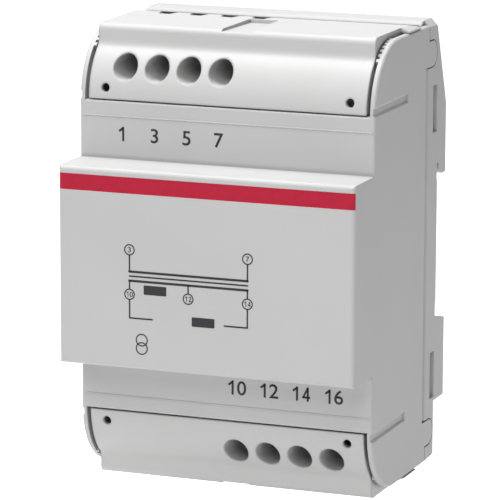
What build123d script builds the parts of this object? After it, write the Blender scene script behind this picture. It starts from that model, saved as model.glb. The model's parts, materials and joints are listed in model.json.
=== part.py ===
"""Safety transformer for a 35 mm mounting rail, four modules wide.

Sizes are in millimetres. +Z is up, the front looks along -Y, and the origin is the middle of the rail seat,
so a "depth" is a distance in front of the rail seat.
"""
import os
from math import asin, atan2, degrees, sqrt

from build123d import *

os.makedirs("parts", exist_ok=True)

# Front housing
module_width = 17.5
module_count = 4
nose_depth = 56.4
nose_height = 45.0
nose_edge_radius = 1.0
stripe_height = 3.65
stripe_drop = 3.5
stripe_inlay = 0.5
shoulder_depth = 44.0
shoulder_height = 71.0
housing_wall = 1.8
ledge_length = 10.0
cheek_radius = 15.4
cheek_wall = 1.2
cheek_edge_chamfer = 0.35
ledge_edge_radius = 0.4
groove_length = 22.8
groove_width = 2.15
groove_depth = 0.5
groove_draft = 40.0
tooth_count = 7
tooth_pitch_angle = 6.0
tooth_first_angle = 130.0
tooth_length = 1.7
tooth_width = 0.9
tooth_height = 0.6
guide_pad_depth = 1.9
core_pad_width = 8.0
core_pad_height = 4.0

# Seam between housing and base
seam_depth = 8.9
seam_gap = 0.2
seam_chamfer = 1.5
tail_depth = 6.8
tongue_start = 5.85
tongue_width = 5.85
tongue_length = 7.6
tongue_clearance = 0.15
tongue_outline = 0.3

# Rear base
base_wall = 2.0
back_wall = 2.2
rim_drop = 0.15
rim_front_round = 0.2
rim_lip = 1.0
rim_lip_depth = 4.0
rim_back_radius = 2.5
rail_height = 35.0
rail_thickness = 1.0
rail_seat_height = 29.0
seat_relief = 0.4
claw_reach = 5.9
claw_shoulder_height = 35.9
hook_overlap = 2.1
hook_lead_in = 2.3
hook_play = 0.75
block_reach = 6.45
block_height = 20.2
block_slope = 1.6
foot_reach = 0.8
pocket_length = 10.9
pocket_width = 3.0
pocket_depth = 1.5
pocket_height = 31.25
pocket_reach = 2.1
post_size = 6.0
post_height = 16.0
carrier_pad_width = 8.0
carrier_pad_height = 5.0
carrier_pad_spacing = 20.0

# Rail latch and its spring
latch_width = 16.0
latch_thickness = 3.4
latch_reach = 1.2
latch_nose_overlap = 2.3
latch_nose_root = 19.5
latch_nose_face = 0.7
latch_end = 47.5
latch_clearance = 0.3
latch_window_width = 10.0
latch_window_top = 29.3
latch_window_wall = 6.2
latch_pull_width = 6.0
latch_pull_height = 2.4
spring_seat_height = 1.6
spring_seat_width = 7.0
spring_strip = 0.4
spring_depth = 2.4
spring_width = 6.4
spring_runs = 3
spring_bend = 1.0

# Terminal row: the lower row is the upper one turned half round
terminal_pitch = 7.62
terminal_edge = 10.2
terminal_rise = 7.4
upper_numbers = ("1", "3", "5", "7")
lower_numbers = ("16", "14", "12", "10")
primary_numbers = ("3", "7")
secondary_numbers = ("14", "12", "10")

# Terminal covers
cover_radius_step = 0.15
cover_gap = 0.3
cover_strip_wall = 1.1
cover_wall = 1.3
cover_inset = 2.1
cover_side_wall = 1.2
cover_seat_gap = 0.1
cover_rear_depth = 13.0
cover_flank_depth = 21.0
cover_bevel_width = 2.0
cover_bevel_drop = 0.9
cover_rear_slope = 3.0
cover_rear_drop = 0.6
ridge_depth = 38.1
ridge_radius = 1.5
ridge_root_radius = 2.2
access_radius = 2.9
access_wall = 0.6
access_gap = 0.5
seal_radius = 1.0
seal_edge = 6.0
seal_rise = 2.8
notch_depth = 6.0
notch_mouth = 5.9
notch_root = 2.6
thumb_width = 6.8
thumb_front_drop = 0.5
thumb_rear_drop = 0.8
thumb_rear_depth = 20.0

# Terminals
cage_back_depth = 8.3
cage_width = 5.5
cage_depth = 11.7
cage_height = 7.0
cage_wall = 0.6
cage_clearance = 0.2
wire_space = 4.6
bar_width = 3.9
bar_thickness = 1.2
bar_tail_width = 2.4
bar_tail_length = 5.75
bar_top_gap = 0.6
bar_clearance = 0.15
screw_radius = 1.5
screw_length = 8.8
screw_head_radius = 2.5
screw_head_height = 2.2
screw_slot_width = 0.8
screw_slot_depth = 1.1
screw_gap = 0.1
carrier_back_depth = 6.5
carrier_depth = 20.5
carrier_end_wall = 1.0
carrier_wall = 1.0
shelf_clearance = 0.4

# Transformer
lamination_leg = 10.0
stack_height = 21.0
core_depth = 28.4
bobbin_clearance = 0.3
bobbin_wall = 1.0
flange_wall = 1.0
winding_build = 7.8
winding_side_build = 7.4
winding_gap = 0.1
winding_corner = 1.2
tape_wall = 0.35
flange_margin = 0.7
pin_rail_height = 3.0
pin_size = 0.9
pin_length = 6.0
pin_sink = 2.0
pin_clearance = 0.05
lead_width = 2.0
lead_thickness = 1.1
cutout_width = 9.0
cutout_height = 7.0
cutout_thickness = 3.0
cutout_chamfer = 0.8

# Places that follow from the sizes above
half_width = module_width * module_count / 2
nose_half = nose_height / 2
shoulder_half = shoulder_height / 2
cheek_y = cheek_radius - shoulder_depth
cheek_top = shoulder_half + cheek_radius
tongue_radius = tongue_width / 2
tongue_y = tongue_length - tongue_radius - seam_depth
tongue_low = shoulder_half + tongue_start
tongue_z = tongue_low + tongue_radius
cover_height = cheek_top + cover_seat_gap + cover_strip_wall
rim_half = cover_height - rim_drop
rim_inner = rim_half - base_wall
rim_front_radius = seam_chamfer + rim_front_round
lip_inner = rim_half - rim_lip
base_front = seam_gap - seam_depth
rail_half = rail_height / 2
slot_top = rail_half + hook_play
seat_half = rail_seat_height / 2
hook_low = rail_half - hook_overlap
block_top = -rail_half
block_bottom = block_top - block_height
core_front = core_depth + stack_height / 2
core_back = core_depth - stack_height / 2
terminal_z = shoulder_half + terminal_rise
terminal_xs = [terminal_edge - half_width + i * terminal_pitch for i in range(len(upper_numbers))]
row_middle = (terminal_xs[0] + terminal_xs[-1]) / 2
bar_depth = cage_back_depth + cage_wall + wire_space + bar_thickness / 2
wire_depth = cage_back_depth + cage_wall + wire_space / 2
cage_front = cage_back_depth + cage_depth
screw_tip = bar_depth + bar_thickness / 2 + screw_gap
screw_head = screw_tip + screw_length
carrier_front = carrier_back_depth + carrier_depth
pocket_height_inside = cage_height + 2 * cage_clearance
pocket_width_inside = cage_width + 2 * cage_clearance
carrier_height = pocket_height_inside + 2 * carrier_wall
carrier_width = terminal_xs[-1] - terminal_xs[0] + pocket_width_inside + 2 * carrier_end_wall
latch_half = latch_width / 2
latch_back = latch_reach + latch_thickness
latch_middle = latch_reach + latch_thickness / 2
latch_window_low = latch_end - latch_window_wall
spring_seat_top = latch_window_low - latch_clearance - spring_seat_height
cover_half = half_width - cover_inset
shelf_width = 2 * (cover_half - cover_side_wall - shelf_clearance)
cover_radius = cheek_radius - cover_radius_step


# Printed stripe across the nose, which follows the rounding at both ends
with BuildPart() as front_stripe:
    with BuildSketch(Plane.XZ.offset(nose_depth)):
        with Locations((0, nose_half - stripe_drop)):
            Rectangle(2 * half_width, stripe_height)
    extrude(amount=-2 * nose_edge_radius)
    stripe_ends = front_stripe.faces().sort_by(Axis.Y)[0].edges().filter_by(Axis.Z)
    fillet(stripe_ends, nose_edge_radius)
    split(bisect_by=Plane.XZ.offset(nose_depth - stripe_inlay))

front_stripe.part.label = "front_stripe"
export_step(front_stripe.part, "parts/front_stripe.step")

# Front housing: nose, shoulders and cheeks in one moulding, open at the rear and under the covers
with BuildPart() as front_housing:
    with BuildSketch(Plane.YZ):
        Rectangle(shoulder_depth, shoulder_height, align=(Align.MAX, Align.CENTER))
        Rectangle(nose_depth, nose_height, align=(Align.MAX, Align.CENTER))
        Rectangle(seam_depth, shoulder_height, align=(Align.MAX, Align.CENTER), mode=Mode.SUBTRACT)
    extrude(amount=half_width, both=True)
    fillet(front_housing.faces().sort_by(Axis.Y)[0].edges(), nose_edge_radius)
    add(front_stripe.part, mode=Mode.SUBTRACT)
    with BuildSketch(Plane.YZ):
        Rectangle(
            shoulder_depth - housing_wall,
            shoulder_height - 2 * housing_wall,
            align=(Align.MAX, Align.CENTER),
        )
        Rectangle(nose_depth - housing_wall, nose_height - 2 * housing_wall, align=(Align.MAX, Align.CENTER))
        Rectangle(shoulder_depth - ledge_length, shoulder_height, align=(Align.MAX, Align.CENTER))
    extrude(amount=half_width - housing_wall, both=True, mode=Mode.SUBTRACT)
    # Pads behind the shoulders that hold the core
    with BuildSketch(Plane.XZ.offset(core_front)):
        with GridLocations(5 * lamination_leg, nose_height, 2, 2):
            Rectangle(core_pad_width, core_pad_height)
    extrude(amount=shoulder_depth - housing_wall / 2 - core_front)
    for side in (-1, 1):
        # Cheek with its rounded rim and the snap tongue at its rear edge
        with BuildSketch(Plane.YZ.offset(side * half_width)):
            with BuildLine():
                rim = CenterArc((cheek_y, shoulder_half), cheek_radius, 90, 90)
                front = Polyline(
                    rim @ 1,
                    (-seam_depth, shoulder_half),
                    (-seam_depth, tongue_low),
                    (tongue_y, tongue_low),
                )
                tongue = CenterArc((tongue_y, tongue_z), tongue_radius, -90, 180)
                Polyline(
                    tongue @ 1,
                    (-tail_depth, tongue_low + tongue_width),
                    (-tail_depth, cheek_top),
                    rim @ 0,
                )
            make_face()
            mirror(about=Plane.XZ)
        extrude(amount=-side * cheek_wall)
    # Broken outer edges round the shoulders and cheeks, and soft lips under the covers
    rim_arcs = front_housing.edges().filter_by(GeomType.CIRCLE).group_by(SortBy.RADIUS)[-1].group_by(Axis.X)
    chamfer(rim_arcs[0] + rim_arcs[-1], cheek_edge_chamfer)
    shoulder_edges = front_housing.edges().filter_by(Axis.X).filter_by_position(
        Axis.Y, -shoulder_depth, -shoulder_depth
    )
    lips = shoulder_edges.group_by(Axis.Z)
    fillet(lips[0] + lips[-1], ledge_edge_radius)
    for side in (-1, 1):
        # Ratchet teeth inside the rim
        with BuildSketch(Plane.YZ.offset(side * (half_width - cheek_wall))):
            with Locations((cheek_y, shoulder_half)):
                with PolarLocations(
                    cheek_radius - tooth_length / 2,
                    tooth_count,
                    start_angle=tooth_first_angle,
                    angular_range=-tooth_pitch_angle * tooth_count,
                ):
                    Rectangle(tooth_length, tooth_width)
            mirror(about=Plane.XZ)
        extrude(amount=-side * tooth_height)
        # Thicker middle of the cheek, which guides the cover's flank
        with BuildSketch(Plane.YZ.offset(side * (half_width - cheek_wall))):
            with Locations((cheek_y, shoulder_half)):
                Circle(cheek_radius - guide_pad_depth)
                Rectangle(cheek_radius, cheek_radius, align=(Align.MAX, Align.MIN), mode=Mode.INTERSECT)
            mirror(about=Plane.XZ)
        extrude(amount=-side * tooth_height)
        # Shallow groove on the side wall, open at the front
        with BuildSketch(Plane.YZ.offset(side * half_width)):
            with Locations((groove_length - shoulder_depth, shoulder_half)):
                Rectangle(groove_length + groove_depth, groove_width, align=(Align.MAX, Align.MIN))
            mirror(about=Plane.XZ)
        extrude(amount=groove_depth, dir=(-side, 0, 0), taper=groove_draft, mode=Mode.SUBTRACT)

front_housing.part.label = "front_housing"
export_step(front_housing.part, "parts/front_housing.step")


# Rear base: tray with the fixed rail hook above and the block for the sliding latch below
base_corners = [
    (base_front, rim_half),
    (0, rim_half),
    (claw_reach, claw_shoulder_height),
    (claw_reach, hook_low),
    (rail_thickness + hook_lead_in, hook_low),
    (rail_thickness, hook_low + hook_lead_in / 2),
    (rail_thickness, slot_top),
    (-seat_relief, slot_top),
    (-seat_relief, seat_half),
    (0, seat_half),
    (0, -seat_half),
    (-seat_relief, -seat_half),
    (-seat_relief, block_top),
    (block_reach, block_top - block_slope),
    (block_reach, block_bottom),
    (foot_reach, block_bottom),
    (foot_reach, -rim_half),
    (base_front, -rim_half),
]
rim_radii = [rim_front_radius, rim_back_radius]
base_radii = rim_radii + [0] * (len(base_corners) - 2 * len(rim_radii)) + rim_radii[::-1]
with BuildPart() as rear_base:
    with BuildSketch(Plane.YZ):
        with BuildLine():
            FilletPolyline(*base_corners, radius=base_radii, close=True)
        make_face()
    extrude(amount=half_width, both=True)
    front_edges = rear_base.edges().filter_by(Axis.Z).group_by(Axis.Y)[0]
    chamfer(front_edges, seam_chamfer)
    # Inside of the tray, cored out behind the hook
    with BuildSketch(Plane.YZ):
        with BuildLine():
            Polyline(
                (base_front - base_wall, lip_inner),
                (base_front + rim_lip_depth, lip_inner),
                (base_front + rim_lip_depth, rim_inner),
                (-back_wall, rim_inner),
                (claw_reach - base_wall, claw_shoulder_height - base_wall),
                (claw_reach - base_wall, slot_top + base_wall),
                (-back_wall, slot_top + base_wall),
                (-back_wall, -rim_inner),
                (base_front + rim_lip_depth, -rim_inner),
                (base_front + rim_lip_depth, -lip_inner),
                (base_front - base_wall, -lip_inner),
                close=True,
            )
        make_face()
    extrude(amount=half_width - base_wall, both=True, mode=Mode.SUBTRACT)
    # Hollows in the lower block, beside the latch guide
    guide_half = latch_half + latch_clearance
    hollow_width = half_width - guide_half - 2 * base_wall
    hollow_height = block_height - block_slope - 2 * base_wall
    with BuildSketch(Plane.XZ.offset(back_wall)):
        with Locations((0, block_bottom + base_wall + hollow_height / 2)):
            with GridLocations(half_width + guide_half, 0, 2, 1):
                Rectangle(hollow_width, hollow_height)
    extrude(amount=base_wall - block_reach - back_wall, mode=Mode.SUBTRACT)
    # Guide for the latch, through the block from top to bottom
    with BuildSketch(Plane.XY.offset(block_bottom)):
        with Locations((0, latch_middle)):
            Rectangle(2 * guide_half, latch_thickness + 2 * latch_clearance)
    extrude(amount=block_height, mode=Mode.SUBTRACT)
    # Seat of the latch spring
    with BuildSketch(Plane.XZ.offset(-foot_reach / 2)):
        with Locations((0, spring_seat_height / 2 - latch_window_low + latch_clearance)):
            Rectangle(spring_seat_width, spring_seat_height)
    extrude(amount=foot_reach / 2 - latch_back)
    # Posts behind the core
    with BuildSketch(Plane.XZ.offset(core_back)):
        with GridLocations(5 * lamination_leg, 2 * post_height, 2, 2):
            Rectangle(post_size, post_size)
    extrude(amount=back_wall / 2 - core_back)
    # Pads behind the two terminal carriers
    with BuildSketch(Plane.XZ.offset(carrier_back_depth)):
        with Locations((-row_middle, -terminal_z)):
            with GridLocations(carrier_pad_spacing, 0, 2, 1):
                Rectangle(carrier_pad_width, carrier_pad_height)
    extrude(amount=back_wall / 2 - carrier_back_depth)
    with BuildSketch(Plane.XZ.offset(carrier_back_depth)):
        with Locations((row_middle, terminal_z)):
            with GridLocations(carrier_pad_spacing, 0, 2, 1):
                Rectangle(carrier_pad_width, carrier_pad_height)
    extrude(until=Until.NEXT, dir=(0, 1, 0))
    for side in (-1, 1):
        # Rebate for the rear edge of the cheek and its snap tongue
        with BuildSketch(Plane.YZ.offset(side * half_width)):
            with Locations((tongue_y, tongue_z)):
                Circle(tongue_radius + tongue_outline)
                Rectangle(
                    tongue_length,
                    tongue_width + 2 * tongue_outline,
                    align=(Align.MAX, Align.CENTER),
                )
            with Locations((tongue_outline - tail_depth, tongue_z)):
                Rectangle(seam_depth, rim_half - tongue_z, align=(Align.MAX, Align.MIN))
            mirror(about=Plane.XZ)
        extrude(amount=-side * (cheek_wall + tongue_clearance), mode=Mode.SUBTRACT)
        # Moulded side pockets
        with BuildSketch(Plane.YZ.offset(side * half_width)):
            with Locations((-pocket_reach, pocket_height), (-pocket_reach, -pocket_height)):
                Rectangle(pocket_width, pocket_length)
        extrude(amount=-side * pocket_depth, mode=Mode.SUBTRACT)

rear_base.part.label = "rear_base"
export_step(rear_base.part, "parts/rear_base.step")


# Sliding latch under the lower edge of the rail
with BuildPart() as rail_latch:
    with BuildSketch(Plane.XZ.offset(-latch_reach)):
        with Locations((0, -latch_end)):
            Rectangle(latch_width, latch_end - latch_nose_root, align=(Align.CENTER, Align.MIN))
        with Locations((0, -latch_window_low)):
            Rectangle(
                latch_window_width,
                latch_window_low - latch_window_top,
                align=(Align.CENTER, Align.MIN),
                mode=Mode.SUBTRACT,
            )
        with Locations((0, -(latch_end + latch_window_low) / 2)):
            Rectangle(latch_pull_width, latch_pull_height, mode=Mode.SUBTRACT)
    extrude(amount=-latch_thickness)
    with BuildSketch(Plane.YZ):
        with BuildLine():
            Polyline(
                (latch_reach, -latch_nose_root),
                (latch_reach, latch_nose_overlap - rail_half),
                (latch_reach + latch_nose_face, latch_nose_overlap - rail_half),
                (latch_back, -latch_nose_root),
                close=True,
            )
        make_face()
    extrude(amount=latch_half, both=True)

rail_latch.part.label = "rail_latch"
export_step(rail_latch.part, "parts/rail_latch.step")

# Folded strip spring between the base's seat and the top of the latch's window
spring_low = spring_strip / 2 - spring_seat_top
spring_step = (spring_seat_top - latch_window_top - spring_strip) / (spring_runs - 1)
spring_points = []
for run in range(spring_runs):
    start = -1 if run % 2 == 0 else 1
    height = spring_low + run * spring_step
    spring_points.append((start * spring_width / 2, height))
    spring_points.append((-start * spring_width / 2, height))
with BuildPart() as latch_spring:
    with BuildSketch(Plane.XZ.offset(spring_depth / 2 - latch_middle)):
        with BuildLine():
            FilletPolyline(*spring_points, radius=spring_bend)
        trace(line_width=spring_strip)
    extrude(amount=-spring_depth)

latch_spring.part.label = "latch_spring"
export_step(latch_spring.part, "parts/latch_spring.step")


# Outline of a terminal cover, seen from the side: curved front, hollow root, finger ridge, flat top
root_y = -ridge_depth - ridge_root_radius
root_z = shoulder_half + sqrt((cover_radius + ridge_root_radius) ** 2 - (root_y - cheek_y) ** 2)
root_angle = degrees(atan2(root_z - shoulder_half, root_y - cheek_y))
lip_angle = 180 - degrees(asin(cover_gap / cover_radius))
with BuildSketch(Plane.YZ) as cover_outline:
    with BuildLine():
        curve = CenterArc((cheek_y, shoulder_half), cover_radius, lip_angle, root_angle - lip_angle)
        root = CenterArc((root_y, root_z), ridge_root_radius, root_angle - 180, 180 - root_angle)
        ridge = CenterArc(
            (ridge_radius - ridge_depth, cover_height - ridge_radius),
            ridge_radius,
            180,
            -90,
        )
        Line(root @ 1, ridge @ 0)
        Polyline(
            ridge @ 1,
            (-cover_flank_depth, cover_height),
            (-cover_flank_depth, shoulder_half + cover_gap),
            curve @ 0,
        )
    make_face()

# Upper terminal cover: curved front, finger ridge and flat top that lies on the cheeks
with BuildPart() as upper_terminal_cover:
    extrude(cover_outline.sketch, amount=cover_half, both=True)
    with BuildSketch(Plane.YZ):
        with Locations((cheek_y, shoulder_half)):
            Circle(cover_radius - cover_wall)
        with Locations((cover_wall - ridge_depth, shoulder_half)):
            Rectangle(
                ridge_depth - cover_wall,
                cover_height - cover_wall - shoulder_half,
                align=(Align.MIN, Align.MIN),
            )
    extrude(amount=cover_half - cover_side_wall, both=True, mode=Mode.SUBTRACT)
    # Guide block behind the screw access holes, trimmed to the curved front
    with BuildSketch(Plane.XZ.offset(carrier_front + access_gap)):
        with Locations((row_middle, terminal_z)):
            Rectangle(
                terminal_xs[-1] - terminal_xs[0] + 2 * (access_radius + access_wall),
                2 * (access_radius + access_wall),
            )
    extrude(amount=shoulder_depth - carrier_front)
    extrude(cover_outline.sketch, amount=half_width, both=True, mode=Mode.INTERSECT)
    with BuildSketch(Plane.XZ.offset(carrier_front)):
        with Locations(*[(x, terminal_z) for x in terminal_xs]):
            Circle(access_radius)
        with Locations(*[(side * (half_width - seal_edge), shoulder_half + seal_rise) for side in (-1, 1)]):
            Circle(seal_radius)
    extrude(amount=shoulder_depth - carrier_front, mode=Mode.SUBTRACT)
    # Rear strip over the full width, with bevelled ends and rear edge
    strip_low = cheek_top + cover_seat_gap
    with BuildSketch(Plane.XZ.offset(cover_rear_depth)):
        with BuildLine():
            Polyline(
                (-half_width, strip_low),
                (half_width, strip_low),
                (half_width, cover_height - cover_bevel_drop),
                (half_width - cover_bevel_width, cover_height),
                (cover_bevel_width - half_width, cover_height),
                (-half_width, cover_height - cover_bevel_drop),
                close=True,
            )
        make_face()
    extrude(amount=cover_flank_depth - cover_rear_depth)
    with BuildSketch(Plane.YZ):
        with BuildLine():
            Polyline(
                (-cover_rear_depth, cover_height),
                (-cover_rear_depth - cover_rear_slope, cover_height),
                (-cover_rear_depth, cover_height - cover_rear_drop),
                close=True,
            )
        make_face()
    extrude(amount=half_width, both=True, mode=Mode.SUBTRACT)
    # Wire entries along the rear edge
    with BuildSketch(Plane.XY.offset(cheek_top)):
        with Locations(*[(x, -cover_rear_depth) for x in terminal_xs]):
            Polygon(
                (-notch_mouth / 2, 0),
                (-notch_root / 2, -notch_depth),
                (notch_root / 2, -notch_depth),
                (notch_mouth / 2, 0),
                align=None,
            )
    extrude(amount=cover_height, mode=Mode.SUBTRACT)
    # Sloped thumb recess in the middle of the flat
    with BuildSketch(Plane.YZ):
        with BuildLine():
            Polyline(
                (-ridge_depth, cover_height),
                (-ridge_depth, cover_height - thumb_front_drop),
                (-thumb_rear_depth, cover_height - thumb_rear_drop),
                (-thumb_rear_depth, cover_height),
                close=True,
            )
        make_face()
    extrude(amount=thumb_width / 2, both=True, mode=Mode.SUBTRACT)

upper_terminal_cover.part.label = "upper_terminal_cover"
export_step(upper_terminal_cover.part, "parts/upper_terminal_cover.step")

# Lower terminal cover: the same moulding, turned half round
with BuildPart() as lower_terminal_cover:
    add(upper_terminal_cover.part.rotate(Axis.Y, 180))

lower_terminal_cover.part.label = "lower_terminal_cover"
export_step(lower_terminal_cover.part, "parts/lower_terminal_cover.step")


# Core: E stack with its back below, closed by the I stack above
with BuildPart() as core_e_stack:
    with BuildSketch(Plane.XZ.offset(core_back)):
        with Locations((0, -lamination_leg / 2)):
            Rectangle(6 * lamination_leg, 4 * lamination_leg)
        with GridLocations(3 * lamination_leg, 0, 2, 1):
            Rectangle(lamination_leg, 3 * lamination_leg, mode=Mode.SUBTRACT)
    extrude(amount=stack_height)

core_e_stack.part.label = "core_e_stack"
export_step(core_e_stack.part, "parts/core_e_stack.step")

with BuildPart() as core_i_stack:
    with BuildSketch(Plane.XZ.offset(core_back)):
        with Locations((0, 2 * lamination_leg)):
            Rectangle(6 * lamination_leg, lamination_leg)
    extrude(amount=stack_height)

core_i_stack.part.label = "core_i_stack"
export_step(core_i_stack.part, "parts/core_i_stack.step")

# Bobbin on the middle leg, with one chamber for each winding
bore_width = 2 * lamination_leg + 2 * bobbin_clearance
bore_depth = stack_height + 2 * bobbin_clearance
tube_width = bore_width + 2 * bobbin_wall
tube_depth = bore_depth + 2 * bobbin_wall
winding_width = tube_width + 2 * winding_side_build
winding_depth = tube_depth + 2 * winding_build
flange_width = 4 * lamination_leg - 2 * bobbin_clearance
flange_depth = winding_depth + 2 * tape_wall + 2 * flange_margin
bobbin_length = 3 * lamination_leg - 2 * bobbin_clearance
chamber_length = (bobbin_length - 3 * flange_wall) / 2
flange_bottoms = [-bobbin_length / 2 + i * (chamber_length + flange_wall) for i in range(3)]
pin_rail_depth = (flange_depth - bore_depth) / 2
pin_rail_y = -core_depth + bore_depth / 2 + pin_rail_depth
with BuildPart() as bobbin:
    with BuildSketch(Plane.XY.offset(-bobbin_length / 2)):
        with Locations((0, -core_depth)):
            Rectangle(tube_width, tube_depth)
    extrude(amount=bobbin_length)
    for bottom in flange_bottoms:
        with BuildSketch(Plane.XY.offset(bottom)):
            with Locations((0, -core_depth)):
                Rectangle(flange_width, flange_depth)
        extrude(amount=flange_wall)
    # Pin rails on the rear overhang of the end flanges
    with BuildSketch(Plane.XZ.offset(-pin_rail_y)):
        with GridLocations(0, bobbin_length + pin_rail_height, 1, 2):
            Rectangle(flange_width, pin_rail_height)
    extrude(amount=pin_rail_depth)
    with BuildSketch(Plane.XY.offset(-bobbin_length / 2)):
        with Locations((0, -core_depth)):
            Rectangle(bore_width, bore_depth)
    extrude(amount=bobbin_length, mode=Mode.SUBTRACT)
    for numbers, row_numbers, turn in (
        (primary_numbers, upper_numbers, 1),
        (secondary_numbers, lower_numbers, -1),
    ):
        places = [(turn * terminal_xs[row_numbers.index(n)], -bar_depth) for n in numbers]
        rail_end = turn * (bobbin_length / 2 + pin_rail_height)
        with BuildSketch(Plane.XY.offset(rail_end)):
            with Locations(*places):
                Rectangle(pin_size + 2 * pin_clearance, pin_size + 2 * pin_clearance)
        extrude(amount=-turn * pin_sink, mode=Mode.SUBTRACT)

bobbin.part.label = "bobbin"
export_step(bobbin.part, "parts/bobbin.step")

# Windings in the two chambers, each wrapped in tape
for name, bottom in (("secondary", flange_bottoms[0]), ("primary", flange_bottoms[1])):
    with BuildPart() as winding:
        with BuildSketch(Plane.XY.offset(bottom + flange_wall + winding_gap)):
            with Locations((0, -core_depth)):
                RectangleRounded(winding_width, winding_depth, winding_corner)
                Rectangle(tube_width + 2 * winding_gap, tube_depth + 2 * winding_gap, mode=Mode.SUBTRACT)
        extrude(amount=chamber_length - 2 * winding_gap)
    winding.part.label = f"{name}_winding"
    export_step(winding.part, f"parts/{name}_winding.step")
    with BuildPart() as tape:
        with BuildSketch(Plane.XY.offset(bottom + flange_wall + winding_gap)):
            with Locations((0, -core_depth)):
                RectangleRounded(
                    winding_width + 2 * tape_wall,
                    winding_depth + 2 * tape_wall,
                    winding_corner + tape_wall,
                )
                RectangleRounded(winding_width, winding_depth, winding_corner, mode=Mode.SUBTRACT)
        extrude(amount=chamber_length - 2 * winding_gap)
    tape.part.label = f"{name}_tape"
    export_step(tape.part, f"parts/{name}_tape.step")

# Thermal cut-out, taped to the back of the primary winding
with BuildPart() as thermal_cutout:
    with BuildSketch(Plane.XZ.offset(core_depth - winding_depth / 2 - tape_wall)):
        with Locations((0, (chamber_length + flange_wall) / 2)):
            Rectangle(cutout_width, cutout_height)
    extrude(amount=-cutout_thickness)
    chamfer(thermal_cutout.edges().filter_by(Axis.Y), cutout_chamfer)

thermal_cutout.part.label = "thermal_cutout"
export_step(thermal_cutout.part, "parts/thermal_cutout.step")


# Insulating block of a terminal row, with a pocket for each cage and a shelf that screens the transformer
with BuildPart() as upper_terminal_carrier:
    with BuildSketch(Plane.XZ.offset(carrier_back_depth)):
        with Locations((row_middle, terminal_z)):
            Rectangle(carrier_width, carrier_height)
        with Locations((0, terminal_z - carrier_height / 2)):
            Rectangle(shelf_width, carrier_wall, align=(Align.CENTER, Align.MIN))
    extrude(amount=carrier_depth)
    with BuildSketch(Plane.XZ.offset(cage_back_depth - cage_clearance)):
        with Locations(*[(x, terminal_z) for x in terminal_xs]):
            Rectangle(pocket_width_inside, pocket_height_inside)
    extrude(amount=carrier_depth, mode=Mode.SUBTRACT)
    with BuildSketch(Plane.XY.offset(terminal_z)):
        with Locations(*[(x, -wire_depth) for x in terminal_xs]):
            Rectangle(wire_space, wire_space)
    extrude(amount=carrier_height, mode=Mode.SUBTRACT)
    with BuildSketch(Plane.XY.offset(terminal_z)):
        with Locations(*[(x, -bar_depth) for x in terminal_xs]):
            Rectangle(bar_tail_width + 2 * bar_clearance, bar_thickness + 2 * bar_clearance)
    extrude(amount=-carrier_height, mode=Mode.SUBTRACT)

upper_terminal_carrier.part.label = "upper_terminal_carrier"
export_step(upper_terminal_carrier.part, "parts/upper_terminal_carrier.step")

with BuildPart() as lower_terminal_carrier:
    add(upper_terminal_carrier.part.rotate(Axis.Y, 180))

lower_terminal_carrier.part.label = "lower_terminal_carrier"
export_step(lower_terminal_carrier.part, "parts/lower_terminal_carrier.step")

# Cage, contact bar and clamp screw of each terminal
cage_low = terminal_z - cage_height / 2
bar_shoulder = terminal_z - pocket_height_inside / 2 + bar_clearance
bar_top = terminal_z + pocket_height_inside / 2 - bar_top_gap
bar_tail_end = bar_shoulder - bar_tail_length
for row, numbers, turn in (("upper", upper_numbers, 0), ("lower", lower_numbers, 180)):
    for number, x in zip(numbers, terminal_xs):
        with BuildPart() as cage:
            with BuildSketch(Plane.XY.offset(cage_low)):
                with Locations((x, -cage_back_depth - cage_depth / 2)):
                    Rectangle(cage_width, cage_depth)
                    Rectangle(cage_width - 2 * cage_wall, cage_depth - 2 * cage_wall, mode=Mode.SUBTRACT)
            extrude(amount=cage_height)
            with BuildSketch(Plane.XZ.offset(cage_front)):
                with Locations((x, terminal_z)):
                    Circle(screw_radius + screw_gap)
            extrude(amount=-cage_wall, mode=Mode.SUBTRACT)
        placed_cage = cage.part.rotate(Axis.Y, turn)
        placed_cage.label = f"terminal_cage_{number}"
        export_step(placed_cage, f"parts/terminal_cage_{number}.step")

        with BuildPart() as bar:
            with BuildSketch(Plane.XZ.offset(bar_depth - bar_thickness / 2)):
                with Locations((x, bar_shoulder)):
                    Rectangle(bar_width, bar_top - bar_shoulder, align=(Align.CENTER, Align.MIN))
                with Locations((x, bar_tail_end)):
                    Rectangle(bar_tail_width, bar_tail_length, align=(Align.CENTER, Align.MIN))
            extrude(amount=bar_thickness)
        placed_bar = bar.part.rotate(Axis.Y, turn)
        placed_bar.label = f"terminal_bar_{number}"
        export_step(placed_bar, f"parts/terminal_bar_{number}.step")

    with BuildPart() as screws:
        with BuildSketch(Plane.XZ.offset(screw_tip)):
            with Locations(*[(x, terminal_z) for x in terminal_xs]):
                Circle(screw_radius)
        extrude(amount=screw_length)
        with BuildSketch(Plane.XZ.offset(screw_head)):
            with Locations(*[(x, terminal_z) for x in terminal_xs]):
                Circle(screw_head_radius)
        extrude(amount=screw_head_height)
        with BuildSketch(Plane.XZ.offset(screw_head + screw_head_height)):
            with Locations(*[(x, terminal_z) for x in terminal_xs]):
                Rectangle(2 * screw_head_radius, screw_slot_width)
        extrude(amount=-screw_slot_depth, mode=Mode.SUBTRACT)
    placed_screws = screws.part.rotate(Axis.Y, turn)
    placed_screws.label = f"{row}_terminal_screws"
    export_step(placed_screws, f"parts/{row}_terminal_screws.step")

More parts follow.
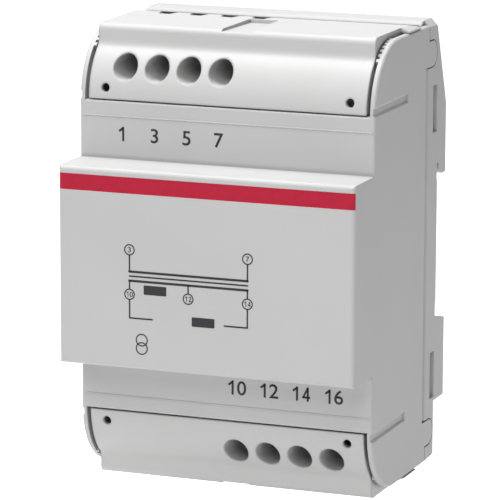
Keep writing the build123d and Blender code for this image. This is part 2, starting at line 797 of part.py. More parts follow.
# Connection pins of the bobbin, and the insulated leads from them to the contact bars
pin_start = bobbin_length / 2 + pin_rail_height - pin_sink
pin_end = pin_start + pin_length
for name, numbers, row_numbers, turn in (
    ("primary", primary_numbers, upper_numbers, 0),
    ("secondary", secondary_numbers, lower_numbers, 180),
):
    lead_xs = [terminal_xs[row_numbers.index(n)] for n in numbers]
    with BuildPart() as pins:
        with BuildSketch(Plane.XY.offset(pin_start)):
            with Locations(*[(x, -bar_depth) for x in lead_xs]):
                Rectangle(pin_size, pin_size)
        extrude(amount=pin_length)
    placed_pins = pins.part.rotate(Axis.Y, turn)
    placed_pins.label = f"{name}_pins"
    export_step(placed_pins, f"parts/{name}_pins.step")

    for number, x in zip(numbers, lead_xs):
        with BuildPart() as lead:
            with BuildSketch(Plane.XY.offset(pin_end)):
                with Locations((x, -bar_depth)):
                    Rectangle(lead_width, lead_thickness)
            extrude(amount=bar_tail_end - pin_end)
        placed_lead = lead.part.rotate(Axis.Y, turn)
        placed_lead.label = f"lead_{number}"
        export_step(placed_lead, f"parts/lead_{number}.step")
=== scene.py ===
"""Dress the rail-mounted safety transformer for its studio picture.

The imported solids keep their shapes. This script gives each of them a procedural finish, adds the mould lines of
the shoulders and the printed marks on the front, and sets up a plain studio with the camera of the photograph.
"""

import json
import logging
import math
from collections.abc import Callable
from dataclasses import dataclass
from enum import Enum
from typing import Protocol

import bpy
from mathutils import Matrix, Vector


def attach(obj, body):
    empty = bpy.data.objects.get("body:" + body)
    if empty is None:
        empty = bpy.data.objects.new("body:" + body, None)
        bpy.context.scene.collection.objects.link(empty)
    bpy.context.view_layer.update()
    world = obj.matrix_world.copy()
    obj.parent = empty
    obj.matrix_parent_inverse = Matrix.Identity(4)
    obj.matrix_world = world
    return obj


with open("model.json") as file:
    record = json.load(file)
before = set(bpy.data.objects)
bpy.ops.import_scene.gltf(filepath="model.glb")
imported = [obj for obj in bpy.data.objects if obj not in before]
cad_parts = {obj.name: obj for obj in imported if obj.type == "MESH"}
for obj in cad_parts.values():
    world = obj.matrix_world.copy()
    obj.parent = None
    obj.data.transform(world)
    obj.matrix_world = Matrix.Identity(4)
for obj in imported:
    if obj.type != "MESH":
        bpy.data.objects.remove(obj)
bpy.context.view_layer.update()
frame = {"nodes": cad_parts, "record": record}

LOG = logging.getLogger("safety_transformer")
MM = 0.001
Colour = tuple[float, float, float]

# Ends of the middle part of a noise, where most of its values lie
NOISE_LOW, NOISE_HIGH = 0.3, 0.7
# Radians that a wave texture runs through for each unit of its scaled coordinate
WAVE_RATE = 20
# Rays that look for near surfaces, for the painted shade in creases, and for edges at each point of a finish
CREASE_SHADE_SAMPLES = 8
EDGE_SAMPLES = 6


class Body(Enum):
    """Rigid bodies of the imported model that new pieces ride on."""

    HOUSING = "housing"


class Facing(Enum):
    """Which way the bands of a layered finish follow each other."""

    ALONG_X = "X"
    ALONG_Y = "Y"
    ALONG_Z = "Z"


def seen_directly(tree: bpy.types.NodeTree) -> bpy.types.NodeSocket:
    """Tell rays that show a background from rays that light the part.

    Args:
        tree: Node tree to add the nodes to.

    Returns:
        1 for the camera's own rays, for reflections and for what shows through, and 0 for the rest.
    """
    path = tree.nodes.new("ShaderNodeLightPath")
    seen = path.outputs["Is Camera Ray"]
    for kind in ("Is Glossy Ray", "Is Transmission Ray"):
        either = tree.nodes.new("ShaderNodeMath")
        either.operation = "MAXIMUM"
        tree.links.new(seen, either.inputs[0])
        tree.links.new(path.outputs[kind], either.inputs[1])
        seen = either.outputs[0]
    return seen


class NodeSheet:
    """The node tree of one material, with short ways to add and join its nodes."""

    def __init__(self, name: str) -> None:
        """Start a material that holds one principled shader.

        Args:
            name: Name of the material.
        """
        self.material = bpy.data.materials.new(name)
        self.material.use_nodes = True
        self.tree = self.material.node_tree
        self.shader = next(n for n in self.tree.nodes if n.type == "BSDF_PRINCIPLED")
        self.place = self.add("ShaderNodeTexCoord").outputs["Object"]

    def add(self, kind: str, sockets: dict | None = None, **settings: object) -> bpy.types.Node:
        """Add a node, set its options, and fill or join its sockets.

        Args:
            kind: Blender's name for the node type.
            sockets: Socket name or number to a value, or to the output that feeds it.
            settings: Options of the node itself.

        Returns:
            The new node.
        """
        node = self.tree.nodes.new(kind)
        for option, value in settings.items():
            setattr(node, option, value)
        for socket, value in (sockets or {}).items():
            if isinstance(value, bpy.types.NodeSocket):
                self.tree.links.new(value, node.inputs[socket])
            else:
                node.inputs[socket].default_value = value
        return node

    def noise(self, feature_mm: float, detail: float = 2.0) -> bpy.types.NodeSocket:
        """Noise with features of about a given size.

        Args:
            feature_mm: Size of one blotch.
            detail: Octaves of finer noise on top.

        Returns:
            The noise value, around one half.
        """
        node = self.add(
            "ShaderNodeTexNoise",
            {"Vector": self.place, "Scale": 1 / (feature_mm * MM), "Detail": detail},
        )
        return node.outputs["Fac"]

    def bands(self, pitch_mm: float, facing: Facing, waver: float) -> bpy.types.NodeSocket:
        """Parallel bands, such as the edges of a stack of sheets.

        Args:
            pitch_mm: Distance from one band to the next.
            facing: Axis along which the bands follow each other.
            waver: How much the bands wander.

        Returns:
            The height of the bands, from 0 to 1.
        """
        node = self.add(
            "ShaderNodeTexWave",
            {"Vector": self.place, "Scale": math.tau / (WAVE_RATE * pitch_mm * MM), "Distortion": waver},
            bands_direction=facing.value,
        )
        return node.outputs["Fac"]

    def sum(self, operation: str, *values: object) -> bpy.types.NodeSocket:
        """One step of arithmetic.

        Args:
            operation: Blender's name for the step.
            values: Numbers or outputs, in order.

        Returns:
            The result.
        """
        return self.add("ShaderNodeMath", dict(enumerate(values)), operation=operation).outputs[0]

    def spread(self, factor: bpy.types.NodeSocket, low: float, high: float) -> bpy.types.NodeSocket:
        """Stretch the middle of a noise over a range of values.

        Args:
            factor: The noise.
            low: Value at the low end.
            high: Value at the high end.

        Returns:
            The stretched value.
        """
        ends = {"From Min": NOISE_LOW, "From Max": NOISE_HIGH, "To Min": low, "To Max": high}
        return self.add("ShaderNodeMapRange", {"Value": factor, **ends}).outputs["Result"]

    def tint(self, factor: bpy.types.NodeSocket, low: Colour, high: Colour) -> bpy.types.NodeSocket:
        """Run from one colour to another over the middle of a noise.

        Args:
            factor: The noise.
            low: Colour at the low end.
            high: Colour at the high end.

        Returns:
            The mixed colour.
        """
        node = self.add("ShaderNodeValToRGB", {"Fac": factor})
        ends = node.color_ramp.elements
        ends[0].position, ends[0].color = NOISE_LOW, (*low, 1)
        ends[1].position, ends[1].color = NOISE_HIGH, (*high, 1)
        return node.outputs["Color"]

    def shadow_creases(
        self, colour: bpy.types.NodeSocket, reach_mm: float, depth: float
    ) -> bpy.types.NodeSocket:
        """Darken a colour with painted shade in seams and corners, where little light comes in.

        Args:
            colour: Colour of the open surface.
            reach_mm: How near another surface has to be.
            depth: Share of the colour that is lost where the surface is closed in.

        Returns:
            The colour with painted shade.
        """
        near = self.add("ShaderNodeAmbientOcclusion", {"Distance": reach_mm * MM}, samples=CREASE_SHADE_SAMPLES)
        open_share = near.outputs["AO"]
        factor = self.sum("MULTIPLY_ADD", open_share, depth, 1 - depth)
        return self.add("ShaderNodeVectorMath", {0: colour, "Scale": factor}, operation="SCALE").outputs[0]

    def soft_edges(self, radius_mm: float) -> bpy.types.NodeSocket:
        """Normal that rounds off sharp edges, as a mould leaves them.

        Args:
            radius_mm: Radius of the rounding.

        Returns:
            The rounded normal.
        """
        node = self.add("ShaderNodeBevel", {"Radius": radius_mm * MM}, samples=EDGE_SAMPLES)
        return node.outputs["Normal"]

    def relief(
        self,
        height: bpy.types.NodeSocket,
        depth_mm: float,
        strength: float,
        normal: bpy.types.NodeSocket | None = None,
    ) -> None:
        """Let a height shape the surface of the shader.

        Args:
            height: Height from 0 to 1.
            depth_mm: How deep one unit of height is.
            strength: Share of the relief that shows.
            normal: Normal to start from, or None for that of the mesh.
        """
        sockets = {"Height": height, "Distance": depth_mm * MM, "Strength": strength}
        if normal is not None:
            sockets["Normal"] = normal
        self.feed("Normal", self.add("ShaderNodeBump", sockets).outputs["Normal"])

    def feed(self, socket: str, source: bpy.types.NodeSocket) -> None:
        """Join an output to a socket of the shader.

        Args:
            socket: Name of the socket.
            source: Output that feeds it.
        """
        self.tree.links.new(source, self.shader.inputs[socket])

    def fix(self, **values: object) -> None:
        """Set plain values on the shader.

        Args:
            values: Socket name to value, with a low line for each space in the name.
        """
        for socket, value in values.items():
            self.shader.inputs[socket.replace("_", " ")].default_value = value


def shade(colour: Colour, factor: float) -> Colour:
    """The same colour, darker or lighter.

    Args:
        colour: Colour to start from.
        factor: Above 1 for lighter, below 1 for darker.

    Returns:
        The changed colour, at most white.
    """
    return tuple(min(1.0, part * factor) for part in colour)


class Finish(Protocol):
    """Anything that builds a material."""

    def material(self) -> bpy.types.Material:
        """Build the finish.

        Returns:
            Its material.
        """


@dataclass(frozen=True)
class MouldedPlastic:
    """Matt moulded plastic: fine eroded grain, slow drift of tone, soft edges and painted shade in seams and
    corners.
    """

    name: str
    colour: Colour
    roughness: float = 0.5
    roughness_play: float = 0.05
    detail: float = 3.0
    grain_mm: float = 0.3
    grain_share: float = 0.25
    grain_depth_mm: float = 0.012
    grain_strength: float = 0.6
    drift_mm: float = 22.0
    drift: float = 0.025
    edge_mm: float = 0.3
    crease_shade_mm: float = 1.2
    crease_shade_depth: float = 0.6

    def material(self) -> bpy.types.Material:
        """Build the finish.

        Returns:
            Its material.
        """
        sheet = NodeSheet(self.name)
        drift = sheet.noise(self.drift_mm, self.detail)
        grain = sheet.noise(self.grain_mm, self.detail)
        slow = sheet.sum("MULTIPLY", drift, 1 - self.grain_share)
        tone = sheet.sum("MULTIPLY_ADD", grain, self.grain_share, slow)
        colour = sheet.tint(tone, shade(self.colour, 1 - self.drift), shade(self.colour, 1 + self.drift))
        # Painted shade: the colour darkens where other surfaces are near, in seams and corners.
        sheet.feed("Base Color", sheet.shadow_creases(colour, self.crease_shade_mm, self.crease_shade_depth))
        least, most = self.roughness - self.roughness_play, self.roughness + self.roughness_play
        sheet.feed("Roughness", sheet.spread(grain, least, most))
        sheet.relief(grain, self.grain_depth_mm, self.grain_strength, sheet.soft_edges(self.edge_mm))
        return sheet.material


@dataclass(frozen=True)
class PrintedInk:
    """Thin layer of pad-printed ink, a little uneven in cover."""

    name: str
    colour: Colour
    roughness: float = 0.42
    roughness_drop: float = 0.04
    roughness_rise: float = 0.06
    shine: float = 0.2
    cover_mm: float = 1.6
    cover_detail: float = 4.0
    cover_play: float = 0.06
    bead_mm: float = 0.3
    bead_depth_mm: float = 0.006
    bead_strength: float = 0.5

    def material(self) -> bpy.types.Material:
        """Build the finish.

        Returns:
            Its material.
        """
        sheet = NodeSheet(self.name)
        sheet.fix(Specular_IOR_Level=self.shine)
        cover = sheet.noise(self.cover_mm, self.cover_detail)
        thin, thick = shade(self.colour, 1 - self.cover_play), shade(self.colour, 1 + self.cover_play)
        sheet.feed("Base Color", sheet.tint(cover, thin, thick))
        least, most = self.roughness - self.roughness_drop, self.roughness + self.roughness_rise
        sheet.feed("Roughness", sheet.spread(cover, least, most))
        sheet.relief(sheet.noise(self.bead_mm), self.bead_depth_mm, self.bead_strength)
        return sheet.material


@dataclass(frozen=True)
class PlatedMetal:
    """Drawn or pressed metal with a fine directional scratch and a plated tint."""

    name: str
    colour: Colour
    roughness: float = 0.32
    roughness_drop: float = 0.07
    roughness_rise: float = 0.09
    cloud_mm: float = 2.5
    cloud_detail: float = 4.0
    darkest: float = 0.86
    lightest: float = 1.08
    scratch_pitch_mm: float = 0.12
    scratch_waver: float = 6.0
    scratch_depth_mm: float = 0.004
    scratch_strength: float = 0.4

    def material(self) -> bpy.types.Material:
        """Build the finish.

        Returns:
            Its material.
        """
        sheet = NodeSheet(self.name)
        sheet.fix(Metallic=1.0)
        cloud = sheet.noise(self.cloud_mm, self.cloud_detail)
        scratch = sheet.bands(self.scratch_pitch_mm, Facing.ALONG_X, self.scratch_waver)
        dark, light = shade(self.colour, self.darkest), shade(self.colour, self.lightest)
        sheet.feed("Base Color", sheet.tint(cloud, dark, light))
        least, most = self.roughness - self.roughness_drop, self.roughness + self.roughness_rise
        sheet.feed("Roughness", sheet.spread(cloud, least, most))
        sheet.relief(scratch, self.scratch_depth_mm, self.scratch_strength)
        return sheet.material


@dataclass(frozen=True)
class LayeredStack:
    """Surface made of many thin layers, such as sheet edges or turns of wire."""

    name: str
    colour: Colour
    pitch_mm: float
    facing: Facing
    metallic: float
    roughness: float = 0.4
    roughness_drop: float = 0.06
    roughness_rise: float = 0.1
    layer_share: float = 0.4
    cloud_mm: float = 3.0
    darkest: float = 0.6
    lightest: float = 1.15
    depth_mm: float = 0.08
    strength: float = 0.8
    waver: float = 0.4

    def material(self) -> bpy.types.Material:
        """Build the finish.

        Returns:
            Its material.
        """
        sheet = NodeSheet(self.name)
        sheet.fix(Metallic=self.metallic)
        layers = sheet.bands(self.pitch_mm, self.facing, self.waver)
        cloud = sheet.noise(self.cloud_mm)
        slow = sheet.sum("MULTIPLY", cloud, 1 - self.layer_share)
        tone = sheet.sum("MULTIPLY_ADD", layers, self.layer_share, slow)
        dark, light = shade(self.colour, self.darkest), shade(self.colour, self.lightest)
        sheet.feed("Base Color", sheet.tint(tone, dark, light))
        least, most = self.roughness - self.roughness_drop, self.roughness + self.roughness_rise
        sheet.feed("Roughness", sheet.spread(cloud, least, most))
        sheet.relief(layers, self.depth_mm, self.strength)
        return sheet.material


GREY_HOUSING: Colour = (0.580, 0.576, 0.576)
GREY_BASE: Colour = (0.570, 0.567, 0.567)
GREY_COVER: Colour = (0.595, 0.593, 0.592)
INK_GREY: Colour = (0.035, 0.035, 0.038)
STRIPE_RED: Colour = (0.50, 0.012, 0.042)

INK = PrintedInk("dark_print", INK_GREY)

FINISHES: dict[str, Finish] = {
    "stripe_print": PrintedInk("red_print", STRIPE_RED, roughness=0.36),
    "housing_plastic": MouldedPlastic("housing_grey", GREY_HOUSING),
    "base_plastic": MouldedPlastic("base_grey", GREY_BASE),
    "cover_plastic": MouldedPlastic("cover_grey", GREY_COVER, roughness=0.46, edge_mm=0.8),
    "latch_plastic": MouldedPlastic("latch_black", (0.03, 0.03, 0.033), roughness=0.42),
    "bobbin_plastic": MouldedPlastic("bobbin_cream", (0.62, 0.58, 0.46), roughness=0.4),
    "carrier_plastic": MouldedPlastic("carrier_grey", (0.23, 0.23, 0.235), roughness=0.5),
    "cutout_plastic": MouldedPlastic("cutout_black", (0.02, 0.02, 0.02), roughness=0.3),
    "lead_insulation": MouldedPlastic("lead_blue", (0.05, 0.07, 0.30), roughness=0.35),
    "tape_film": LayeredStack("amber_tape", (0.62, 0.38, 0.04), 2.0, Facing.ALONG_Z, 0.0, roughness=0.25),
    "winding_wire": LayeredStack("enamelled_copper", (0.62, 0.22, 0.08), 0.42, Facing.ALONG_Z, 1.0),
    "core_steel": LayeredStack("sheet_stack", (0.16, 0.17, 0.19), 0.5, Facing.ALONG_Y, 1.0, waver=0.1),
    "spring_steel": PlatedMetal("spring_steel", (0.55, 0.55, 0.57), roughness=0.25),
    "terminal_steel": PlatedMetal("zinc_plate", (0.60, 0.60, 0.58)),
    "contact_brass": PlatedMetal("tinned_brass", (0.68, 0.60, 0.40)),
}


def clear_selection() -> None:
    """Deselect every object, because an operator acts on all that is selected."""
    bpy.ops.object.select_all(action="DESELECT")


def settle_place() -> None:
    """Move the active object's place, turn and size into its mesh."""
    bpy.ops.object.transform_apply(location=True, rotation=True, scale=True)


def start_block(name: str, low: Vector, high: Vector) -> bpy.types.Object:
    """Add a block between two corners, ready to be shaped.

    Args:
        name: Name of the piece.
        low: Lowest corner, in metres.
        high: Highest corner, in metres.

    Returns:
        The block, active and selected.
    """
    clear_selection()
    bpy.ops.mesh.primitive_cube_add(size=1, location=(low + high) / 2)
    block = bpy.context.object
    block.name = name
    block.scale = high - low
    settle_place()
    return block


def bevel_edges(
    piece: bpy.types.Object, chosen: Callable[[Vector, Vector], bool], width: float, segments: int
) -> None:
    """Round off some edges of a piece.

    Args:
        piece: The piece, active and selected.
        chosen: Says from the two ends of an edge whether it is rounded.
        width: Radius of the rounding, in metres.
        segments: Steps round the edge.
    """
    bpy.ops.object.mode_set(mode="EDIT")
    bpy.ops.mesh.select_mode(type="EDGE")
    bpy.ops.mesh.select_all(action="DESELECT")
    bpy.ops.object.mode_set(mode="OBJECT")
    points = piece.data.vertices
    for edge in piece.data.edges:
        first, second = (points[i].co for i in edge.vertices)
        edge.select = chosen(first, second)
    bpy.ops.object.mode_set(mode="EDIT")
    bpy.ops.mesh.bevel(offset=width, segments=segments, affect="EDGES")
    bpy.ops.object.mode_set(mode="OBJECT")


def across_film(first: Vector, second: Vector) -> bool:
    """Whether an edge of a printed mark runs through its film, from front to back.

    Args:
        first: One end of the edge.
        second: Its other end.

    Returns:
        True for the edges at the corners of the mark.
    """
    return first.y != second.y


def join_pieces(name: str, parts: list[bpy.types.Object]) -> bpy.types.Object:
    """Join several meshes into one piece.

    Args:
        name: Name of the joined piece.
        parts: Meshes to join.

    Returns:
        The joined piece.
    """
    clear_selection()
    for part in parts:
        part.select_set(True)
    bpy.context.view_layer.objects.active = parts[0]
    bpy.ops.object.join()
    parts[0].name = name
    return parts[0]


def thicken(piece: bpy.types.Object, amount: float) -> None:
    """Give a flat piece a thickness behind its face and apply it.

    Args:
        piece: The flat piece, active and selected.
        amount: Thickness in metres.
    """
    modifier = piece.modifiers.new("thickness", "SOLIDIFY")
    modifier.thickness = amount
    modifier.offset = -1.0
    bpy.ops.object.modifier_apply(modifier=modifier.name)


def dress_piece(piece: bpy.types.Object, material: bpy.types.Material, body: Body) -> None:
    """Give a finished piece its material and the body it rides on.

    Args:
        piece: The finished piece.
        material: Its material.
        body: Body that it moves with.
    """
    piece.data.materials.clear()
    piece.data.materials.append(material)
    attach(piece, body.value)
    LOG.info("piece %s rides on %s", piece.name, body.value)


class SolidFinishes:
    """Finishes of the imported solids, by the slots of the record."""

    def __init__(self) -> None:
        """Build each finish once."""
        self.materials = {slot: finish.material() for slot, finish in FINISHES.items()}

    def dress(self) -> None:
        """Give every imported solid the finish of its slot."""
        slots = {row["node"]: row["material_slot"] for row in frame["record"]["subparts"]}
        for node, solid in frame["nodes"].items():
            for place in solid.material_slots:
                place.material = self.materials[slots[node]]
            LOG.info("solid %s has finish %s", node, slots[node])


@dataclass
class WitnessLines:
    """Fine raised lines that the mould leaves across the two shoulders, each sloping back towards its top."""

    face_y: float = -44.0 * MM
    half_length: float = 34.6 * MM
    heights: tuple[float, float] = (32.1 * MM, -32.1 * MM)
    width: float = 0.42 * MM
    rise: float = 0.09 * MM
    crest_radius: float = 0.02 * MM
    crest_steps: int = 2

    def build(self, material: bpy.types.Material) -> None:
        """Build and dress the lines.

        Args:
            material: Finish of the housing.
        """
        lines = []
        for z in self.heights:
            reach = Vector((self.half_length, self.rise, self.width / 2))
            middle = Vector((0, self.face_y, z))
            line = start_block("line", middle - reach, middle + reach)
            bevel_edges(line, self.on_crest, self.crest_radius, self.crest_steps)
            for point in line.data.vertices:
                if point.co.y < self.face_y and point.co.z > z:
                    point.co.y = self.face_y - self.crest_radius
            lines.append(line)
        dress_piece(join_pieces("witness_lines", lines), material, Body.HOUSING)

    def on_crest(self, first: Vector, second: Vector) -> bool:
        """Whether an edge runs along the front of a line.

        Args:
            first: One end of the edge.
            second: Its other end.

        Returns:
            True for the long edges in front of the face.
        """
        return first.x != second.x and max(first.y, second.y) < self.face_y


@dataclass(frozen=True)
class Weight:
    """How heavy printed figures are, as shares of their height."""

    swell: float
    stem: float


@dataclass(frozen=True)
class NumberRow:
    """A row of terminal numbers on one shoulder."""

    name: str
    first_x: float
    z: float
    numbers: tuple[str, ...]


NUMBER_ROWS = (
    NumberRow("upper_terminal_numbers", -24.7 * MM, 28.15 * MM, ("1", "3", "5", "7")),
    NumberRow("lower_terminal_numbers", 2.85 * MM, -27.8 * MM, ("10", "12", "14", "16")),
)


@dataclass(frozen=True)
class FigureOne:
    """Shape of a 1, in shares of its height."""

    right: float = 0.12
    flag_angle: float = math.radians(38)
    flag_length: float = 0.42


@dataclass(frozen=True)
class FigureFour:
    """Shape of a 4, in shares of its height, and of its slope in shares of the stem's width."""

    stem: float = 0.12
    left: float = -0.29
    reach: float = 0.58
    bar: float = -0.22
    tip: float = 0.3
    heel: float = 0.5
    slope: float = 0.85


@dataclass
class FrontPrint:
    """Printed marks on the front: the terminal numbers and the wiring diagram."""

    nose_y: float = -56.4 * MM
    shoulder_y: float = -44.0 * MM
    film: float = 0.03 * MM
    number_height: float = 3.25 * MM
    number_pitch: float = 7.7 * MM
    label_height: float = 1.2 * MM
    figure_pitch: float = 0.71
    one: FigureOne = FigureOne()
    four: FigureFour = FigureFour()
    bar_corner: float = 0.12
    stretch: float = 1.05
    bold: Weight = Weight(0.008, 0.15)
    light: Weight = Weight(0.004, 0.13)
    line: float = 0.34 * MM
    heavy_line: float = 0.52 * MM
    line_corner: float = 0.3
    corner_steps: int = 2
    ring_radius: float = 1.28 * MM
    ring_line: float = 0.26 * MM
    ring_points: int = 40
    diagram_xs: tuple[float, float, float] = (-17.9 * MM, -3.9 * MM, 10.1 * MM)
    supply_z: float = 4.57 * MM
    output_z: float = -5.5 * MM
    rail_zs: tuple[float, float, float] = (-0.34 * MM, -1.37 * MM, -2.42 * MM)
    tail_z: float = -10.85 * MM
    tail_length: float = 5.4 * MM
    plate_width: float = 5.4 * MM
    plate_height: float = 2.1 * MM
    plate_corner: float = 0.18 * MM
    plate_corner_steps: int = 3
    plate_places: tuple[tuple[float, float], ...] = ((-11.8 * MM, -4.27 * MM), (-0.35 * MM, -10.55 * MM))
    symbol_x: float = -15.0 * MM
    symbol_zs: tuple[float, float] = (-15.7 * MM, -17.6 * MM)
    symbol_radius: float = 1.45 * MM

    def build(self) -> None:
        """Build and dress all printed marks."""
        ink = INK.material()
        dress_piece(self.wiring_diagram(), ink, Body.HOUSING)
        for row in NUMBER_ROWS:
            marks = []
            for place, number in enumerate(row.numbers):
                middle = Vector((row.first_x + place * self.number_pitch, self.shoulder_y, row.z))
                marks += self.number(number, middle, self.number_height, self.bold)
            dress_piece(join_pieces(row.name, marks), ink, Body.HOUSING)

    def stroke(self, x0: float, z0: float, x1: float, z1: float, width: float) -> bpy.types.Object:
        """Straight printed line with rounded ends.

        Args:
            x0: Start along X.
            z0: Start along Z.
            x1: End along X.
            z1: End along Z.
            width: Width of the line.

        Returns:
            The line.
        """
        half = width / 2
        low = Vector((min(x0, x1) - half, self.nose_y - self.film, min(z0, z1) - half))
        high = Vector((max(x0, x1) + half, self.nose_y + self.film, max(z0, z1) + half))
        bar = start_block("stroke", low, high)
        bevel_edges(bar, across_film, width * self.line_corner, self.corner_steps)
        return bar

    def bar(self, start: Vector, end: Vector, width: float) -> bpy.types.Object:
        """Straight printed bar at any slope on a face that looks forward, with softened corners.

        Args:
            start: Middle of one end, on the face.
            end: Middle of the other end.
            width: Width of the bar.

        Returns:
            The bar.
        """
        run = end - start
        reach = Vector((0, self.film, width / 2))
        piece = start_block("bar", -reach, reach + Vector((run.length, 0, 0)))
        bevel_edges(piece, across_film, width * self.bar_corner, self.corner_steps)
        piece.rotation_euler = (0, -math.atan2(run.z, run.x), 0)
        piece.location = start
        settle_place()
        return piece

    def plate(self, x: float, z: float) -> bpy.types.Object:
        """Plain dark field beside the diagram.

        Args:
            x: Middle along X.
            z: Middle along Z.

        Returns:
            The field.
        """
        reach = Vector((self.plate_width / 2, self.film, self.plate_height / 2))
        middle = Vector((x, self.nose_y, z))
        field = start_block("plate", middle - reach, middle + reach)
        bevel_edges(field, across_film, self.plate_corner, self.plate_corner_steps)
        return field

    def ring(self, x: float, z: float, radius: float) -> bpy.types.Object:
        """Printed ring.

        Args:
            x: Middle along X.
            z: Middle along Z.
            radius: Outer radius.

        Returns:
            The ring.
        """
        clear_selection()
        bpy.ops.mesh.primitive_circle_add(
            vertices=self.ring_points,
            radius=radius,
            fill_type="NGON",
            location=(x, self.nose_y - self.film, z),
            rotation=(math.pi / 2, 0, 0),
        )
        disc = bpy.context.object
        settle_place()
        bpy.ops.object.mode_set(mode="EDIT")
        bpy.ops.mesh.select_mode(type="FACE")
        bpy.ops.mesh.select_all(action="SELECT")
        bpy.ops.mesh.inset(thickness=self.ring_line)
        bpy.ops.mesh.delete(type="FACE")
        bpy.ops.object.mode_set(mode="OBJECT")
        thicken(disc, 2 * self.film)
        return disc

    def number(self, text: str, middle: Vector, height: float, weight: Weight) -> list[bpy.types.Object]:
        """Printed number on a face that looks forward, figure by figure.

        Args:
            text: The number.
            middle: Its middle, on the face.
            height: Height of the figures.
            weight: How heavy they are.

        Returns:
            The pieces of its figures.
        """
        pieces = []
        for place, figure in enumerate(text):
            step = (place - (len(text) - 1) / 2) * self.figure_pitch * height
            centre = middle + Vector((step, 0, 0))
            if figure == "1":
                pieces += self.figure_one(centre, height, weight)
            elif figure == "4":
                pieces += self.figure_four(centre, height, weight)
            else:
                pieces.append(self.figure(figure, centre, height, weight))
        return pieces

    def figure(self, text: str, middle: Vector, height: float, weight: Weight) -> bpy.types.Object:
        """One printed figure, made from a text object that is turned into a mesh.

        Args:
            text: The figure.
            middle: Its middle, on the face.
            height: Its height.
            weight: How heavy it is.

        Returns:
            The figure as a mesh.
        """
        clear_selection()
        bpy.ops.object.text_add()
        bpy.context.object.data.body = text
        bpy.context.object.data.offset = weight.swell
        bpy.ops.object.convert(target="MESH")
        mark = bpy.context.object
        tops = [v.co.y for v in mark.data.vertices]
        sides = [v.co.x for v in mark.data.vertices]
        centre = Vector(((max(sides) + min(sides)) / 2, (max(tops) + min(tops)) / 2, 0))
        mark.data.transform(Matrix.Translation(-centre))
        size = height / (max(tops) - min(tops))
        mark.scale = (size * self.stretch, size, size)
        mark.rotation_euler = (math.pi / 2, 0, 0)
        mark.location = middle - Vector((0, self.film, 0))
        settle_place()
        thicken(mark, 2 * self.film)
        return mark

    def figure_one(self, middle: Vector, height: float, weight: Weight) -> list[bpy.types.Object]:
        """A printed 1 with its flag.

        Args:
            middle: Its middle, on the face.
            height: Its height.
            weight: How heavy it is.

        Returns:
            The stem and the flag.
        """
        width = weight.stem * height
        right = middle + Vector((self.one.right * height, 0, 0))
        top = right + Vector((0, 0, height / 2))
        foot = right - Vector((width / 2, 0, height / 2))
        lean = Vector((math.cos(self.one.flag_angle), 0, math.sin(self.one.flag_angle)))
        root = top - width / 2 * Vector((lean.z, 0, lean.x))
        stem = self.bar(foot, foot + Vector((0, 0, height)), width)
        flag = self.bar(root, root - self.one.flag_length * height * lean, width)
        return [stem, flag]

    def figure_four(self, middle: Vector, height: float, weight: Weight) -> list[bpy.types.Object]:
        """A printed 4 with an open counter.

        Args:
            middle: Its middle, on the face.
            height: Its height.
            weight: How heavy it is.

        Returns:
            The stem, the bar across and the slope.
        """
        width = weight.stem * height
        foot = middle + Vector((self.four.stem * height, 0, -height / 2))
        head = foot + Vector((0, 0, height))
        left = middle + Vector((self.four.left, 0, self.four.bar)) * height
        right = left + Vector((self.four.reach * height, 0, 0))
        tip = head - Vector((0, 0, self.four.tip * width))
        heel = left + Vector((self.four.heel * width, 0, 0))
        slope = self.bar(tip, heel, self.four.slope * width)
        return [self.bar(foot, head, width), self.bar(left, right, width), slope]

    def wiring_diagram(self) -> bpy.types.Object:
        """Plain winding diagram: two supply terminals, three core lines and three output terminals.

        Returns:
            The diagram.
        """
        left, middle, right = self.diagram_xs
        upper, core, lower = self.rail_zs
        ring = self.ring_radius
        parts = [
            self.stroke(left, upper, right, upper, self.heavy_line),
            self.stroke(left, core, right, core, self.line),
            self.stroke(left, lower, right, lower, self.heavy_line),
        ]
        for x in (left, right):
            parts.append(self.stroke(x, upper, x, self.supply_z - ring, self.line))
            parts.append(self.stroke(x, self.output_z - ring, x, self.tail_z, self.line))
            inward = math.copysign(1.0, middle - x)
            first, last = x + inward * self.line / 4, x + inward * self.tail_length
            parts.append(self.stroke(first, self.tail_z, last, self.tail_z, self.line))
        for x in self.diagram_xs:
            parts.append(self.stroke(x, lower, x, self.output_z + ring, self.line))
        labels = (
            ("3", left, self.supply_z),
            ("7", right, self.supply_z),
            ("10", left, self.output_z),
            ("12", middle, self.output_z),
            ("14", right, self.output_z),
        )
        for text, x, z in labels:
            parts.append(self.ring(x, z, ring))
            parts += self.number(text, Vector((x, self.nose_y, z)), self.label_height, self.light)
        for x, z in self.plate_places:
            parts.append(self.plate(x, z))
        for z in self.symbol_zs:
            parts.append(self.ring(self.symbol_x, z, self.symbol_radius))
        return join_pieces("wiring_diagram", parts)


@dataclass(frozen=True)
class SoftLamp:
    """Square soft lamp: where it stands and how wide it is, in metres, and its power in watts."""

    name: str
    place: Vector
    size: float
    power: float


LAMPS = (
    SoftLamp("top_softbox", Vector((-0.18, -0.09, 0.965)), 0.65, 11.2),
    SoftLamp("front_softbox", Vector((0.12, -0.78, 0.61)), 0.6, 4.1),
)


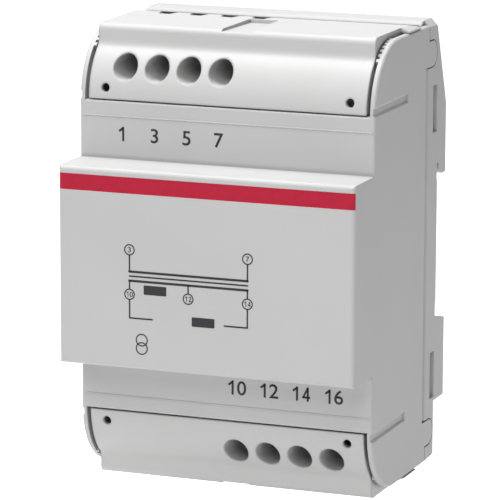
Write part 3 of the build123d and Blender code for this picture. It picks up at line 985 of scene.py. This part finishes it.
@dataclass
class Studio:
    """Plain pale floor, soft light and the camera of the photograph."""

    # Just under the lower cover at the end of its travel
    floor_z: float = -75.0 * MM
    floor_size: float = 6.0
    floor_greys: tuple[float, float] = (0.89, 0.91)
    floor_patch_mm: float = 400.0
    floor_roughness: float = 0.9
    # Glow of the floor where it is seen, directly or in a reflection, so that it looks white
    floor_lift: float = 0.72
    # Strength of the world's light on the part
    even_light: float = 0.02
    # Angles of the camera in degrees
    azimuth: float = 21.02
    elevation: float = 11.51
    roll: float = 0.18
    distance: float = 829.94 * MM
    look_at: Vector = Vector((0, -30 * MM, 0))
    # Steps of the camera across its line of sight
    slide_right: float = 0.50 * MM
    slide_up: float = 0.87 * MM
    focal_px: float = 3666.71
    image_px: int = 500
    sensor: float = 36.0
    nearest: float = 10 * MM

    def build(self) -> None:
        """Build the floor, the world, the lamps and the camera."""
        bpy.context.scene.view_settings.view_transform = "Standard"
        self.floor()
        self.world()
        for lamp in LAMPS:
            self.lamp(lamp)
        self.camera()

    def floor(self) -> None:
        """Large floor below the part, white to the camera but for a shadow, and clear from below."""
        clear_selection()
        bpy.ops.mesh.primitive_plane_add(size=self.floor_size, location=(0, 0, self.floor_z))
        floor = bpy.context.object
        floor.name = "studio_floor"
        settle_place()
        sheet = NodeSheet("studio_white")
        sheet.fix(Roughness=self.floor_roughness, Emission_Color=(1, 1, 1, 1))
        dark, light = ((grey, grey, grey) for grey in self.floor_greys)
        sheet.feed("Base Color", sheet.tint(sheet.noise(self.floor_patch_mm), dark, light))
        seen = seen_directly(sheet.tree)
        sheet.feed("Emission Strength", sheet.sum("MULTIPLY", seen, self.floor_lift))
        below = sheet.add("ShaderNodeNewGeometry").outputs["Backfacing"]
        sheet.feed("Alpha", sheet.sum("SUBTRACT", 1.0, below))
        floor.data.materials.append(sheet.material)

    def world(self) -> None:
        """White background for the camera, and a dimmer even light for everything else."""
        world = bpy.data.worlds.new("studio_world")
        bpy.context.scene.world = world
        world.use_nodes = True
        tree = world.node_tree
        shine = tree.nodes["Background"]
        shine.inputs["Color"].default_value = (1, 1, 1, 1)
        level = tree.nodes.new("ShaderNodeMapRange")
        level.inputs["To Min"].default_value = self.even_light
        level.inputs["To Max"].default_value = 1.0
        tree.links.new(seen_directly(tree), level.inputs["Value"])
        tree.links.new(level.outputs["Result"], shine.inputs["Strength"])

    def lamp(self, soft: SoftLamp) -> None:
        """Hang up a lamp that points at the part.

        Args:
            soft: The lamp.
        """
        data = bpy.data.lights.new(soft.name, "AREA")
        data.energy = soft.power
        data.size = soft.size
        lamp = bpy.data.objects.new(soft.name, data)
        bpy.context.scene.collection.objects.link(lamp)
        lamp.location = soft.place
        lamp.rotation_euler = (self.look_at - soft.place).to_track_quat("-Z", "Y").to_euler()

    def camera(self) -> None:
        """Camera with the photograph's viewing angle and framing."""
        turn, rise, lean = (math.radians(a) for a in (self.azimuth, self.elevation, self.roll))
        back = Vector((math.sin(turn) * math.cos(rise), -math.cos(turn) * math.cos(rise), math.sin(rise)))
        level_right = (-back).cross(Vector((0, 0, 1))).normalized()
        level_up = level_right.cross(-back)
        right = math.cos(lean) * level_right + math.sin(lean) * level_up
        up = math.cos(lean) * level_up - math.sin(lean) * level_right
        place = self.look_at + self.distance * back + self.slide_right * right + self.slide_up * up
        data = bpy.data.cameras.new("photo_camera")
        data.sensor_width = self.sensor
        data.lens = self.focal_px * self.sensor / self.image_px
        data.clip_start = self.nearest
        camera = bpy.data.objects.new("photo_camera", data)
        bpy.context.scene.collection.objects.link(camera)
        camera.matrix_world = Matrix.Translation(place) @ Matrix((right, up, back)).transposed().to_4x4()
        bpy.context.scene.camera = camera


def main() -> None:
    """Dress the solids, add the mould lines and the print, and set up the studio."""
    logging.basicConfig(level=logging.INFO, format="%(name)s: %(message)s")
    finishes = SolidFinishes()
    finishes.dress()
    WitnessLines().build(finishes.materials["housing_plastic"])
    FrontPrint().build()
    Studio().build()


if __name__ == "__main__":
    main()
